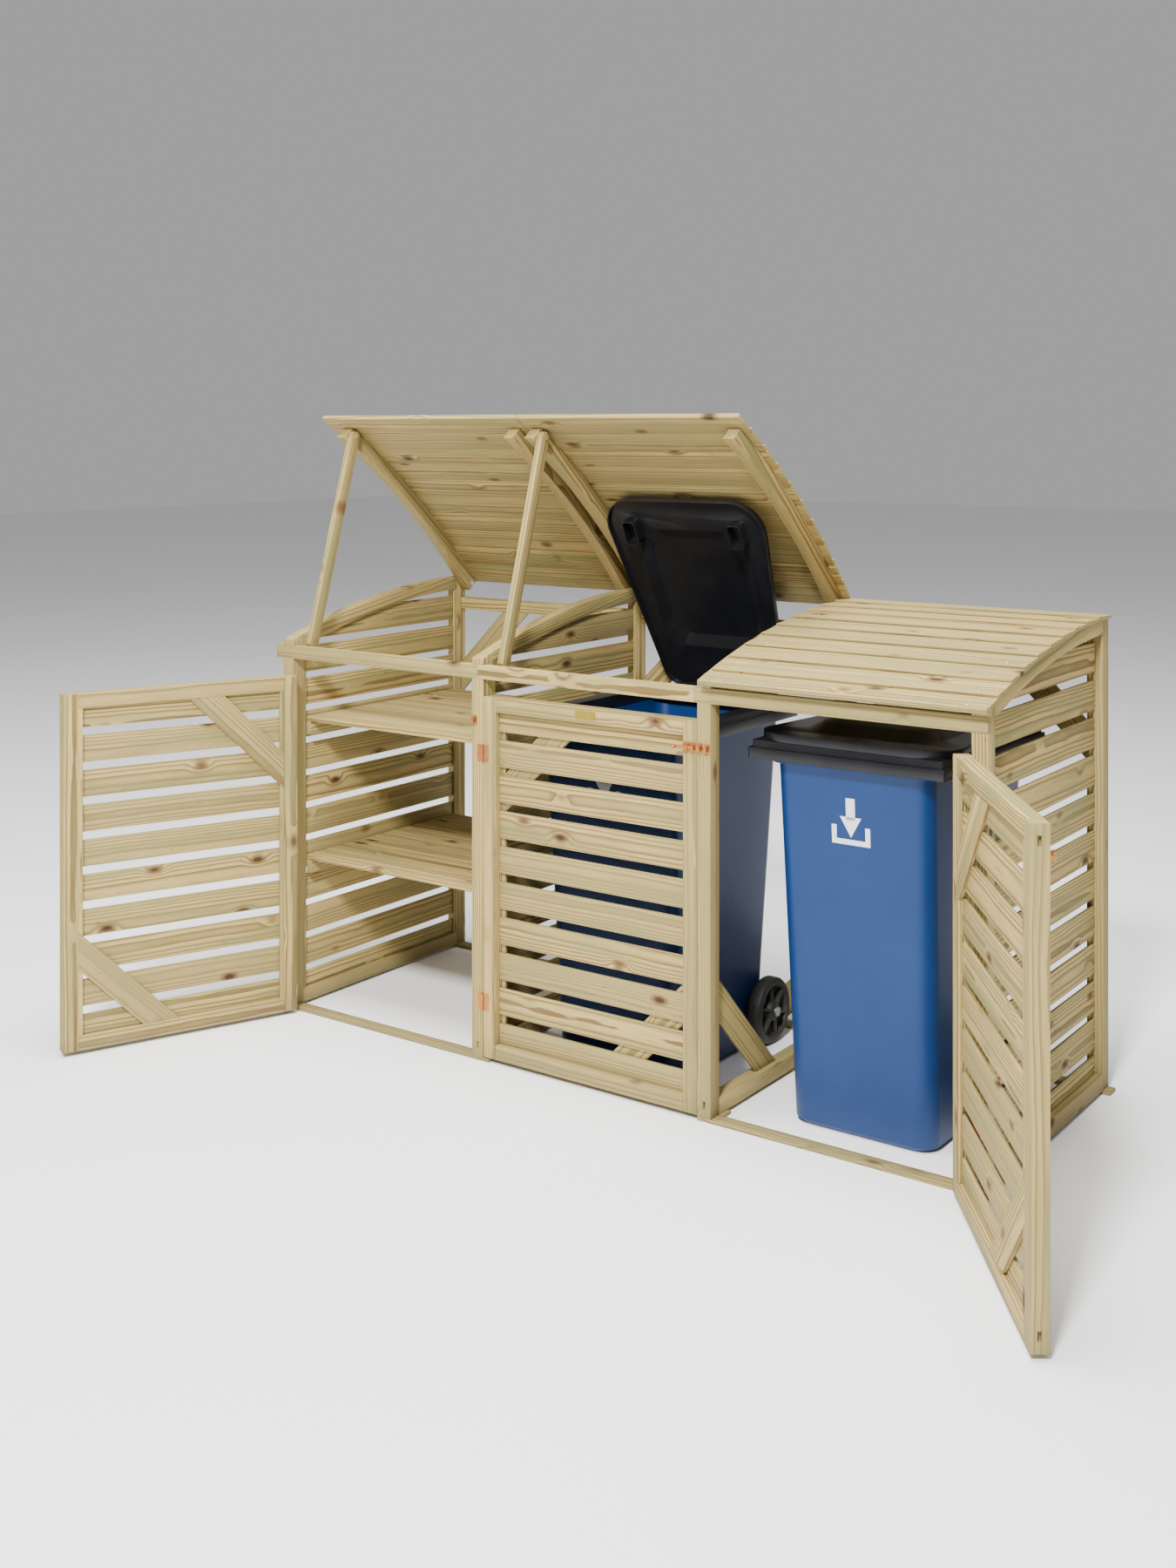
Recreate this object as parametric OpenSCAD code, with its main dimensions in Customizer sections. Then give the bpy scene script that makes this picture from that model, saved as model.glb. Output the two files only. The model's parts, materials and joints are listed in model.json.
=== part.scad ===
// Slatted timber wheelie-bin store for three bays, with two 240-litre wheeled bins.
// Millimetres. X runs along the front, Y from the front to the rear, Z up from the ground.

/* [Store] */
// distance from one side frame to the next
bay_pitch = 795; // [700:1:900]
// front face of the front posts to rear face of the rear posts
store_depth = 872; // [700:1:1000]
// width of a post across the front
post_w = 42; // [30:1:60]
// depth of a post from front to rear
post_d = 46; // [30:1:60]
// underside of the top rail along the front
front_rail_z = 1139.5; // [1000:0.5:1250]
// height of the top rails along front and rear
top_rail_h = 42.5; // [30:0.5:60]
// thickness of the top rails let into the posts
top_rail_t = 22; // [15:1:30]
// underside of the top rail along the rear
rear_rail_z = 1231; // [1100:1:1290]
// how far the left front rail runs past the left frame
rail_overhang = 34; // [0:1:60]
// thickness of the ground runners
runner_t = 10; // [6:1:25]
// width of the ground runners
runner_w = 46; // [30:1:60]

/* [Side frames] */
// height of a side slat
side_slat_h = 85; // [60:1:120]
// distance from one side slat to the next
side_slat_pitch = 106.9; // [80:0.1:140]
// top edge of the highest side slat
side_slat_top = 1280; // [1200:1:1300]
// thickness of every slat
slat_t = 10; // [6:1:16]
// how far the slats sit behind the outer face of a frame
side_recess = 23; // [10:1:28]
// depth of the curved top rail of a side frame
arch_depth = 44; // [30:1:60]
// height of the bottom rail of a side frame
bottom_rail_h = 45; // [30:1:60]

/* [Lids] */
// radius of the curve on which the lid boards lie
lid_radius = 2654; // [2000:1:3500]
// distance of the curve's centre behind the front face
lid_centre_y = 870.5; // [700:0.5:1000]
// height of the curve's centre, which is below the ground
lid_centre_z = -1305.8; // [-2500:0.1:-500]
// number of boards in a lid
lid_boards = 10; // [6:1:14]
// thickness of a lid board at its front edge
board_t = 14; // [8:1:20]
// thickness of a lid board at its rear edge
board_thin = 8; // [4:1:12]
// how far a board laps over the one below it
board_lap = 16; // [8:1:30]
// how far the lids stand out past the front posts
lid_front = 29; // [0:1:60]
// how far the lids stand out past the outer frames
lid_side = 10; // [0:1:30]
// angle of an open lid above its closed place
lid_open = 50; // [10:1:70]
// thickness of a lid rib across the bay
rib_w = 38; // [20:1:45]
// depth of a lid rib
rib_depth = 44; // [30:1:50]
// thickness of a prop
prop_t = 20; // [12:1:25]
// width of a prop
prop_w = 38; // [25:1:45]
// turn of a prop between folded and standing
prop_fold = 65; // [50:1:80]

/* [Doors] */
// height of a door
door_h = 1076; // [900:1:1200]
// thickness of a door
door_t = 42; // [30:1:46]
// width of a door stile
stile_w = 45; // [30:1:70]
// height of a door rail
door_rail_h = 44; // [30:1:70]
// clear gap on each side of a door
door_gap = 1.6; // [0.5:0.1:6]
// height of a door slat
door_slat_h = 80; // [60:1:100]
// distance from one door slat to the next
door_slat_pitch = 105.3; // [90:0.1:130]
// how far the door slats sit behind the front face
door_recess = 20; // [10:1:30]
// angle of the open left door
left_open = 112; // [0:1:165]
// angle of the open right door
right_open = 125.5; // [0:0.5:165]

/* [Shelves] */
// top of the upper shelf
upper_shelf_z = 945; // [700:1:1000]
// top of the lower shelf
lower_shelf_z = 492; // [300:1:650]
// thickness of a shelf plank
shelf_t = 16; // [10:1:25]

/* [Bins] */
// overall width of a bin's rim
bin_w = 576; // [500:1:580]
// height of the bin body
bin_h = 1005; // [900:1:1050]
// front of a bin behind the front posts
bin_y = 52; // [46:1:80]
// sideways place of a bin from the middle of its bay
bin_shift = -4; // [-40:1:40]
// radius of a bin wheel
wheel_r = 100; // [80:1:125]
// angle of the open bin lid
bin_open = 64; // [0:1:66]

/* [Hidden] */
$fn = 64;

wood = [0.80, 0.72, 0.50];
copper = [0.85, 0.50, 0.36];
blue = [0.05, 0.22, 0.52];
black = [0.03, 0.03, 0.035];
steel = [0.62, 0.63, 0.65];
brass = [0.85, 0.68, 0.30];

store_w = 3 * bay_pitch + post_w;
bay_w = bay_pitch - post_w;
rear_y = store_depth - post_d;
rail_top = front_rail_z + top_rail_h;
door_z = runner_t + 3;
door_w = bay_w - 2 * door_gap;
arch_r = lid_radius - 0.3;
// fine gap that keeps neighbouring boards separate pieces
seam = 0.3;

// the lid pivots on a bolt in the upper end of the rear posts
pivot_y = store_depth - 14;
pivot_z = 1326;
pivot_r = 5;
// the prop pivots on a screw in the left rib, given for the closed lid
prop_y = 46;
prop_z = 1188;
prop_r = 4;

// moves from the store's own corner to the frame of the whole part
module site() {
    translate([-store_w / 2, -(post_d + seam + runner_w / 2), 0]) children();
}

module box(x0, x1, y0, y1, z0, z1) {
    translate([x0, y0, z0]) cube([x1 - x0, y1 - y0, z1 - z0]);
}

// a shape drawn in Y and Z, thick from x0 to x1
module across(x0, x1) {
    translate([x0, 0, 0]) rotate([90, 0, 90]) linear_extrude(x1 - x0) children();
}

// a shape drawn in X and Z, thick from y0 to y1
module along(y0, y1) {
    translate([0, y1, 0]) rotate([90, 0, 0]) linear_extrude(y1 - y0) children();
}

// a round bar along X
module rod(x0, x1, y, z, r) {
    across(x0, x1) translate([y, z]) circle(r);
}

// ---------------------------------------------------------------- side frames

module curve_disc(r) {
    translate([lid_centre_y, lid_centre_z]) circle(r, $fn = 360);
}

// front post, notched for the top rail and slotted near its foot
module front_post(x) {
    difference() {
        across(x, x + post_w) intersection() {
            translate([0, runner_t]) square([post_d, 1400]);
            curve_disc(arch_r);
        }
        box(x - 1, x + post_w + 1, -1, top_rail_t, front_rail_z, rail_top);
        box(x + post_w / 2 - 4.5, x + post_w / 2 + 4.5, -1, 14, 34, 55);
    }
}

// rear post, notched for the rear rail, its top rounded about the lid pivot
module rear_post(x, left_hole, right_hole) {
    difference() {
        across(x, x + post_w) union() {
            translate([rear_y, runner_t]) square([post_d, pivot_z - runner_t]);
            intersection() {
                translate([rear_y, runner_t]) square([pivot_y - rear_y, 1400]);
                curve_disc(arch_r);
            }
            intersection() {
                translate([pivot_y - 0.1, pivot_z - 1]) square([14.1, 60]);
                translate([pivot_y, pivot_z]) circle(21.5);
            }
        }
        box(x - 1, x + post_w + 1, store_depth - top_rail_t, store_depth + 1,
            rear_rail_z, rear_rail_z + top_rail_h);
        if (left_hole) rod(x - 1, x + 18, pivot_y, pivot_z, pivot_r);
        if (right_hole) rod(x + post_w - 18, x + post_w + 1, pivot_y, pivot_z, pivot_r);
    }
}

module posts(x, left_hole, right_hole) {
    color(wood) site() {
        front_post(x);
        rear_post(x, left_hole, right_hole);
    }
}

module frame_rails(x) {
    color(wood) site() {
        across(x, x + post_w) intersection() {
            difference() {
                curve_disc(arch_r);
                curve_disc(arch_r - arch_depth);
            }
            translate([post_d, 900]) square([rear_y - post_d, 600]);
        }
        box(x, x + post_w, post_d, rear_y, runner_t, runner_t + bottom_rail_h);
    }
}

// slats between the posts; out is 0 when the outer face is at x, 1 when at x + post_w
module frame_slats(x, out) {
    x0 = out == 0 ? x + side_recess : x + post_w - side_recess - slat_t;
    low = runner_t + bottom_rail_h;
    color(wood) site()
        for (k = [0 : 11]) {
            top = side_slat_top - k * side_slat_pitch;
            bottom = max(low, top - side_slat_h);
            if (top - low > 15)
                across(x0, x0 + slat_t) intersection() {
                    translate([post_d, bottom]) square([rear_y - post_d, top - bottom]);
                    curve_disc(arch_r - arch_depth);
                }
        }
}

module cleat(x, y, out) {
    x0 = out == 0 ? x + side_recess + slat_t : x;
    x1 = out == 0 ? x + post_w : x + post_w - side_recess - slat_t;
    across(x0, x1) intersection() {
        translate([y, runner_t + bottom_rail_h]) square([14, 1300]);
        curve_disc(arch_r - arch_depth);
    }
}

module slat_cleats() {
    color(wood) site() {
        for (y = [post_d, rear_y - 14]) {
            cleat(0, y, 0);
            cleat(bay_pitch, y, 0);
            cleat(3 * bay_pitch, y, 1);
        }
    }
}

// a diagonal strip across a corner at c, reaching a along both sides
module corner_strip(c, sx, sy, a, w) {
    translate(c) polygon([[0, sy * a], [sx * a, 0], [sx * (a - w), 0], [0, sy * (a - w)]]);
}

module corner_braces() {
    w = 112;
    reach = 305;
    color(wood) site() {
        // open divider: lower front and upper rear corners
        across(2 * bay_pitch + 16, 2 * bay_pitch + 27) {
            corner_strip([post_d, runner_t + bottom_rail_h], 1, 1, 340, w);
        }
        across(2 * bay_pitch + 16, 2 * bay_pitch + 27) intersection() {
            corner_strip([rear_y, 1302], -1, -1, reach, w);
            curve_disc(arch_r - arch_depth);
        }
        // rear openings, one brace high and one brace low in each bay
        for (bay = [0 : 2]) {
            l = bay * bay_pitch + post_w;
            r = (bay + 1) * bay_pitch;
            high = bay == 2 ? r : l;
            low = bay == 2 ? l : r;
            side = bay == 2 ? -1 : 1;
            along(store_depth - 22, store_depth - 11) {
                corner_strip([high, rear_rail_z], side, -1, reach, w);
                corner_strip([low, runner_t], -side, 1, reach, w);
            }
        }
    }
}

module front_top_rails() {
    color(wood) site() {
        box(-rail_overhang, bay_pitch + post_w / 2, 0, top_rail_t, front_rail_z, rail_top);
        box(bay_pitch + post_w / 2 + seam, 2 * bay_pitch - 11, 0, top_rail_t, front_rail_z, rail_top);
        box(2 * bay_pitch - 11 + seam, store_w, 0, top_rail_t, front_rail_z, rail_top);
    }
}

module rear_top_rails() {
    color(wood) site() for (bay = [0 : 2]) {
        x0 = bay == 0 ? 0 : bay * bay_pitch + post_w / 2 + seam;
        x1 = bay == 2 ? store_w : (bay + 1) * bay_pitch + post_w / 2;
        box(x0, x1, store_depth - top_rail_t, store_depth, rear_rail_z,
            rear_rail_z + top_rail_h);
    }
}

module ground_runners() {
    long = bay_pitch + post_w + 21;
    color(wood) site() {
        for (y = [0, store_depth - runner_w]) {
            box(0, long, y, y + runner_w, 0, runner_t);
            box(2 * bay_pitch, 2 * bay_pitch + long, y, y + runner_w, 0, runner_t);
        }
        for (y = [post_d + seam, store_depth - 2 * runner_w - seam])
            box(bay_pitch - 10.5, 2 * bay_pitch + post_w + 10.5, y, y + runner_w, 0, runner_t);
    }
}

// ---------------------------------------------------------------- shelves

module shelf_planks() {
    n = 8;
    y0 = 60;
    w = (800 - y0 + 3) / n;
    color(wood) site() for (top = [upper_shelf_z, lower_shelf_z], i = [0 : n - 1])
        box(post_w + 0.5, bay_pitch - 0.5, y0 + i * w, y0 + (i + 1) * w - 3, top - shelf_t, top);
}

module shelf_bearers() {
    color(wood) site() for (top = [upper_shelf_z, lower_shelf_z]) {
        box(post_w, post_w + 20, 60, 800, top - shelf_t - 44, top - shelf_t);
        box(bay_pitch - 20, bay_pitch, 60, 800, top - shelf_t - 44, top - shelf_t);
    }
}

// ---------------------------------------------------------------- hardware

hinge_z = [153, 895];
hinge_h = 50;
pin_y = -3.4;
knuckle_r = 3.4;

// one leaf of a butt hinge whose pin stands at x = 0; side is -1 or 1 for its direction
module hinge_leaf(side, fixed) {
    spans = fixed ? [[0, 16], [34, 50]] : [[16.3, 33.7]];
    difference() {
        union() {
            box(min(side * 3.8, side * 21), max(side * 3.8, side * 21), -1.6, 0, 0, hinge_h);
            for (s = spans) {
                translate([0, pin_y, s[0]]) cylinder(h = s[1] - s[0], r = knuckle_r);
                box(min(0, side * 4), max(0, side * 4), -1.6, 0, s[0], s[1]);
            }
        }
        if (!fixed) translate([0, pin_y, -1]) cylinder(h = hinge_h + 2, r = 1.85);
        for (z = [10, 40])
            translate([side * 13, -1.61, z]) rotate([-90, 0, 0]) cylinder(h = 0.8, r = 3.2);
    }
    if (fixed) translate([0, pin_y, 1]) cylinder(h = hinge_h - 2, r = 1.8);
}

module hinge_screws(side) {
    for (z = [10, 40])
        translate([side * 13, -1.4, z]) rotate([-90, 0, 0]) cylinder(h = 0.55, r = 3);
}

left_pin_x = post_w;
middle_pin_x = bay_pitch + post_w;
right_pin_x = 3 * bay_pitch;

module door_hinge_fixed_leaves() {
    color(copper) site() for (z = hinge_z) {
        for (x = [left_pin_x, middle_pin_x]) translate([x, 0, z]) {
            hinge_leaf(-1, true);
            hinge_screws(-1);
        }
        translate([right_pin_x, 0, z]) {
            hinge_leaf(1, true);
            hinge_screws(1);
        }
    }
}

bolt_z = 1016;
bolt_y = -7.5;

// a bridge with a hole for the bolt, on a small plate
module keeper(x) {
    difference() {
        union() {
            box(x, x + 16, -1.6, 0, bolt_z - 14, bolt_z + 14);
            box(x + 3, x + 13, -14, -1.6, bolt_z - 6.5, bolt_z + 6.5);
        }
        rod(x - 1, x + 17, bolt_y, bolt_z, 4.6);
    }
}

module bolt_keepers() {
    color(copper) site() {
        keeper(bay_pitch + 2);
        keeper(2 * bay_pitch + 2);
        keeper(2 * bay_pitch + post_w - 18);
    }
}

module lid_pivot_bolt(face, dir) {
    x0 = face - dir * 18;
    x1 = face + dir * (1.5 + rib_w + 0.6);
    x2 = x1 + dir * 6;
    rod(min(x0, x1), max(x0, x1), pivot_y, pivot_z, pivot_r);
    rod(min(x1, x2), max(x1, x2), pivot_y, pivot_z, 9);
}

module lid_pivot_bolts() {
    color(steel) site() for (bay = [0 : 2]) {
        lid_pivot_bolt(bay * bay_pitch + post_w, 1);
        lid_pivot_bolt((bay + 1) * bay_pitch, -1);
    }
}

// ---------------------------------------------------------------- doors
// a door is drawn closed with its hinge pin at the origin and its stile towards +X

module door_frame_shape() {
    z1 = door_z + door_h;
    x0 = door_gap;
    x1 = door_gap + door_w;
    difference() {
        box(x0, x0 + stile_w, 0, door_t, door_z, z1);
        box(x0 - 1, x0 + 12, 17, 26, door_z + 26, door_z + 47);
        box(x0 - 1, x0 + 12, 17, 26, z1 - 47, z1 - 26);
    }
    difference() {
        box(x1 - stile_w, x1, 0, door_t, door_z, z1);
        box(x1 - 12, x1 + 1, 17, 26, door_z + 26, door_z + 47);
        box(x1 - 12, x1 + 1, 17, 26, z1 - 47, z1 - 26);
    }
    for (z = [door_z, z1 - door_rail_h])
        box(x0 + stile_w + seam, x1 - stile_w - seam, 0, door_t, z, z + door_rail_h);
}

module door_slats_shape() {
    low = door_z + door_rail_h;
    high = door_z + door_h - door_rail_h;
    first = (low + high) / 2 + 4.5 * door_slat_pitch + door_slat_h / 2;
    for (k = [0 : 9]) {
        top = min(high, first - k * door_slat_pitch);
        bottom = max(low, first - k * door_slat_pitch - door_slat_h);
        box(door_gap + stile_w, door_gap + door_w - stile_w, door_recess, door_recess + slat_t,
            bottom, top);
    }
}

module door_braces_shape() {
    low = door_z + door_rail_h;
    high = door_z + door_h - door_rail_h;
    x0 = door_gap + stile_w;
    x1 = door_gap + door_w - stile_w;
    y0 = door_recess + slat_t;
    difference() {
        union() {
            box(x0, x0 + 14, y0, door_t, low, high);
            box(x1 - 14, x1, y0, door_t, low, high);
        }
        along(y0 - 1, door_t + 1) {
            corner_strip([x0, high], 1, -1, 314.4, 114.8);
            corner_strip([x1, low], -1, 1, 314.4, 114.8);
        }
    }
    along(y0, door_t) {
        corner_strip([x0, high], 1, -1, 314, 114);
        corner_strip([x1, low], -1, 1, 314, 114);
    }
}

// hinge leaves on one stile and the bolt's case on the other
module door_hardware_shape() {
    x1 = door_gap + door_w;
    for (z = hinge_z) translate([0, 0, z]) {
        hinge_leaf(1, false);
        hinge_screws(1);
    }
    difference() {
        union() {
            box(x1 - 44, x1 - 3, -1.6, 0, bolt_z - 14, bolt_z + 14);
            for (x = [x1 - 34, x1 - 14])
                box(x, x + 10, -13.5, -1.6, bolt_z - 6, bolt_z + 6);
        }
        rod(x1 - 60, x1, bolt_y, bolt_z, 4.05);
    }
}

// drawn back; it slides 22 mm towards the keeper
module door_bolt_shape() {
    x1 = door_gap + door_w;
    rod(x1 - 70, x1 - 4.5, bolt_y, bolt_z, 4);
    translate([x1 - 62, bolt_y, bolt_z]) rotate([90, 0, 0]) cylinder(h = 14, r = 3);
    translate([x1 - 62, bolt_y - 16, bolt_z]) sphere(r = 5.5);
}

// puts a door shape at its hinge; hand is 1 for a left hinge and -1 for a right one
module hang_door(x, hand, open) {
    site() translate([x, pin_y, 0]) rotate([0, 0, -hand * open]) translate([0, -pin_y, 0])
        mirror([hand < 0 ? 1 : 0, 0, 0]) children();
}

module left_door() hang_door(left_pin_x, 1, left_open) children();
module middle_door() hang_door(middle_pin_x, 1, 0) children();
module right_door() hang_door(right_pin_x, -1, right_open) children();

module name_plate() {
    color(brass) middle_door()
        box(341, 412, -1, 0, door_z + door_h - 34, door_z + door_h - 9);
}

// ---------------------------------------------------------------- lids

// the boards run from the front edge of the lid to the rear face of the rear posts
first_angle = asin((lid_centre_y + lid_front) / lid_radius);
last_angle = asin((lid_centre_y - store_depth) / lid_radius);
board_angle = (first_angle - last_angle) / lid_boards;
board_pitch = 2 * lid_radius * tan(board_angle / 2);

module board_profile() {
    p = board_pitch / 2;
    polygon([[-p + 0.3, 0], [-p + 0.3, board_thin], [-p - board_lap, board_thin],
        [-p - board_lap, board_t], [p - board_lap - 2, board_thin],
        [p - 0.3, board_thin - 0.3], [p - 0.3, 0]]);
}

module first_board_profile() {
    p = board_pitch / 2;
    polygon([[-p, 0], [-p, board_t], [p - board_lap - 2, board_thin],
        [p - 0.3, board_thin - 0.3], [p - 0.3, 0]]);
}

module lid_boards_shape(x0, x1) {
    for (i = [0 : lid_boards - 1])
        across(x0, x1) translate([lid_centre_y, lid_centre_z])
            rotate(first_angle - (i + 0.5) * board_angle) translate([0, lid_radius])
                if (i == 0) first_board_profile(); else board_profile();
}

module rib_shape(x0) {
    difference() {
        across(x0, x0 + rib_w) intersection() {
            difference() {
                curve_disc(lid_radius);
                curve_disc(lid_radius - rib_depth);
            }
            translate([top_rail_t + 4, 900]) square([pivot_y + 16 - top_rail_t - 4, 600]);
        }
        rod(x0 - 1, x0 + rib_w + 1, pivot_y, pivot_z, pivot_r + 0.05);
    }
}

module lid_ribs_shape(bay) {
    left = bay * bay_pitch + post_w + 1.5;
    right = (bay + 1) * bay_pitch - 1.5 - rib_w;
    difference() {
        rib_shape(left);
        rod(left + rib_w - 30, left + rib_w + 1, prop_y, prop_z, prop_r + 0.05);
    }
    rib_shape(right);
}

// turns a closed lid about its pivot
module swing_lid(open) {
    translate([0, pivot_y, pivot_z]) rotate([-open, 0, 0]) translate([0, -pivot_y, -pivot_z])
        children();
}

// where the prop's pivot stands when the lid is open, and the prop's lean there
open_py = pivot_y + (prop_y - pivot_y) * cos(lid_open) + (prop_z - pivot_z) * sin(lid_open);
open_pz = pivot_z - (prop_y - pivot_y) * sin(lid_open) + (prop_z - pivot_z) * cos(lid_open);
foot_y = top_rail_t + 13;
prop_lean = atan((open_py - foot_y) / (open_pz - rail_top));

// the standing prop in Y and Z: round top, heel behind the rail, slanted seat over it
module prop_outline() {
    far = 60;
    difference() {
        union() {
            translate([open_py, open_pz]) circle(prop_w / 2);
            intersection() {
                translate([open_py, open_pz]) rotate(-prop_lean)
                    translate([-prop_w / 2, -900]) square([prop_w, 900]);
                translate([-100, rail_top - 13]) square([700, 900]);
            }
        }
        polygon([[top_rail_t + 0.8, rail_top - far], [top_rail_t + 0.8, rail_top + 0.6],
            [top_rail_t + 0.8 - far, rail_top + 0.6 + far * 1.15], [-far * 2, rail_top - far]]);
    }
}

module prop_shape(bay) {
    x0 = bay * bay_pitch + post_w + 1.5 + rib_w + 1;
    difference() {
        across(x0, x0 + prop_t) prop_outline();
        rod(x0 - 1, x0 + prop_t + 1, open_py, open_pz, prop_r);
    }
    rod(x0 - 28, x0 + prop_t, open_py, open_pz, prop_r);
    rod(x0 + prop_t, x0 + prop_t + 4, open_py, open_pz, 8);
}

// folds the prop from its standing place in the open lid to its place in the closed lid
module fold_prop() {
    translate([0, pivot_y, pivot_z]) rotate([lid_open, 0, 0]) translate([0, -pivot_y, -pivot_z])
        translate([0, open_py, open_pz]) rotate([prop_fold, 0, 0])
            translate([0, -open_py, -open_pz]) children();
}

module lid_boards_node(bay, open) {
    x0 = bay == 0 ? -lid_side : bay * bay_pitch + post_w / 2 + 1.5;
    x1 = bay == 2 ? store_w + lid_side : (bay + 1) * bay_pitch + post_w / 2 - 1.5;
    color(wood) site() swing_lid(open) lid_boards_shape(x0, x1);
}

module lid_ribs_node(bay, open) {
    color(wood) site() swing_lid(open) lid_ribs_shape(bay);
}

module lid_prop_node(bay, folded) {
    color(wood) site() if (folded) fold_prop() prop_shape(bay); else prop_shape(bay);
}

// ---------------------------------------------------------------- bins
// a bin is drawn with its front at y = 0, its middle at x = 0 and the ground at z = 0

axle_y = 585;
pins_y = 715;
pins_z = bin_h + 13;

module round_rect(w, y0, y1, r) {
    translate([-w / 2 + r, y0]) square([w - 2 * r, y1 - y0]);
    translate([-w / 2, y0 + r]) square([w, y1 - y0 - 2 * r]);
    for (x = [-w / 2 + r, w / 2 - r])
        for (y = [y0 + r, y1 - r])
            translate([x, y]) circle(r);
}

module tapered(w0, a0, b0, r0, z0, w1, a1, b1, r1, z1) {
    hull() {
        translate([0, 0, z0]) linear_extrude(0.01) round_rect(w0, a0, b0, r0);
        translate([0, 0, z1 - 0.01]) linear_extrude(0.01) round_rect(w1, a1, b1, r1);
    }
}

module bin_body_shape() {
    difference() {
        union() {
            difference() {
                union() {
                    tapered(394, 106, 588, 55, 0, 420, 94, 600, 55, 14);
                    tapered(420, 94, 600, 55, 13.9, 455, 38, 690, 45, bin_h);
                }
                box(-300, 300, 540, 800, -1, 128);
            }
            translate([0, 0, bin_h - 18]) linear_extrude(18) round_rect(487, 22, 704, 55);
            for (x = [-203, 193]) box(x, x + 10, 552, 606, 76, 140);
        }
        difference() {
            tapered(412, 98, 596, 51, 15, 447, 42, 686, 41, bin_h + 0.02);
            box(-300, 300, 536, 800, -1, 132);
        }
        rod(-300, 300, axle_y, wheel_r, 10);
    }
    // lugs that carry the lid pins, and the handle bar between them
    for (x = [-176, 152]) difference() {
        union() {
            box(x, x + 24, 700, pins_y + 22, bin_h - 16, bin_h);
            box(x, x + 24, pins_y - 9, pins_y + 9, bin_h - 1, pins_z);
            rod(x, x + 24, pins_y, pins_z, 9);
        }
        rod(x - 1, x + 25, pins_y, pins_z, 6);
    }
    rod(-215, 215, pins_y + 22, bin_h - 9, 12);
}

rim_z = bin_h - 9;
rim_top = bin_h + 40;
rim_step = 30;
lid_w = bin_w - 4;

// the stepped collar round the bin's mouth, hollow from below
module bin_rim_shape() {
    difference() {
        union() {
            translate([0, 0, rim_z]) linear_extrude(rim_step) round_rect(bin_w, 0, 690, 10);
            translate([0, 0, rim_z]) linear_extrude(rim_top - rim_z)
                round_rect(bin_w - 16, 8, 686, 14);
        }
        translate([0, 0, rim_z - 1]) linear_extrude(rim_step - 3)
            round_rect(bin_w - 8, 4, 686, 8);
        translate([0, 0, rim_z - 1]) linear_extrude(rim_top - rim_z - 3)
            round_rect(bin_w - 24, 12, 682, 12);
        translate([0, 0, rim_top - 5]) linear_extrude(10) round_rect(452, 44, 660, 45);
        box(-250, 250, 600, 700, rim_z - 1, bin_h + 0.3);
    }
    difference() {
        translate([0, 0, bin_h + 0.2]) linear_extrude(rim_top - bin_h - 1)
            round_rect(460, 40, 664, 47);
        translate([0, 0, bin_h]) linear_extrude(60) round_rect(452, 44, 660, 45);
    }
}

// the lid's outline: wide with large corners in front, narrower at the hinge; t is taken off
module lid_outline(t) {
    rf = 105 - t;
    rr = 60 - t;
    front = [lid_w / 2 - 105, 10 + 105];
    rear = [lid_w / 2 - 60 - 62, 700 - 60];
    run = rear - front;
    lean = asin((rf - rr) / norm(run));
    along = run / norm(run);
    out = [along[1], -along[0]] * cos(lean) + along * sin(lean);
    for (side = [0, 1]) mirror([side, 0]) {
        polygon([[0, front[1] - rf], [front[0], front[1] - rf], front + rf * out,
            rear + rr * out, [rear[0], rear[1] + rr], [0, rear[1] + rr]]);
        translate(front) circle(rf);
        translate(rear) circle(rr);
    }
}

module bin_lid_shape() {
    z0 = rim_top + 0.3;
    top = z0 + 20;
    difference() {
        union() {
            difference() {
                translate([0, 0, z0]) linear_extrude(20) lid_outline(0);
                translate([0, 0, z0 - 1]) linear_extrude(17) lid_outline(4);
            }
            tapered(400, 110, 560, 95, top - 0.5, 330, 150, 520, 80, top + 22);
        }
        tapered(392, 114, 556, 91, top - 8, 322, 154, 516, 76, top + 18);
    }
    // finger pockets at the front corners, then the hinge knuckles
    for (sx = [-1, 1])
        translate([sx * 192, 80, z0 - 19]) linear_extrude(36) difference() {
            round_rect(50, 0, 86, 16);
            round_rect(42, 4, 82, 12);
        }
    for (x = [-148, 118]) difference() {
        union() {
            box(x, x + 30, 692, pins_y, pins_z - 6, z0 + 17);
            rod(x, x + 30, pins_y, pins_z, 14);
        }
        rod(x - 1, x + 31, pins_y, pins_z, 6.05);
    }
}

module bin_pins_shape() {
    for (x = [-176, 116]) rod(x, x + 60, pins_y, pins_z, 6);
}

module bin_axle_shape() {
    rod(-268, 268, axle_y, wheel_r, 10);
    for (x = [-274, 268]) rod(x, x + 6, axle_y, wheel_r, 14);
}

module wheel_shape(side) {
    translate([side * 240, axle_y, wheel_r]) rotate([0, side * 90, 0]) rotate_extrude($fn = 96)
        polygon([[10.05, -24], [20, -24], [24, -10], [70, -10], [78, -22], [88, -24], [96, -20],
            [wheel_r, -13], [wheel_r, 13], [96, 20], [88, 24], [78, 22], [70, 6], [34, 6],
            [28, 22], [20, 26], [10.05, 26]]);
}

module place_bin(bay) {
    site() translate([(bay + 0.5) * bay_pitch + post_w / 2 + bin_shift, bin_y, 0]) children();
}

module swing_bin_lid(open) {
    translate([0, pins_y, pins_z]) rotate([-open, 0, 0]) translate([0, -pins_y, -pins_z])
        children();
}

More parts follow.
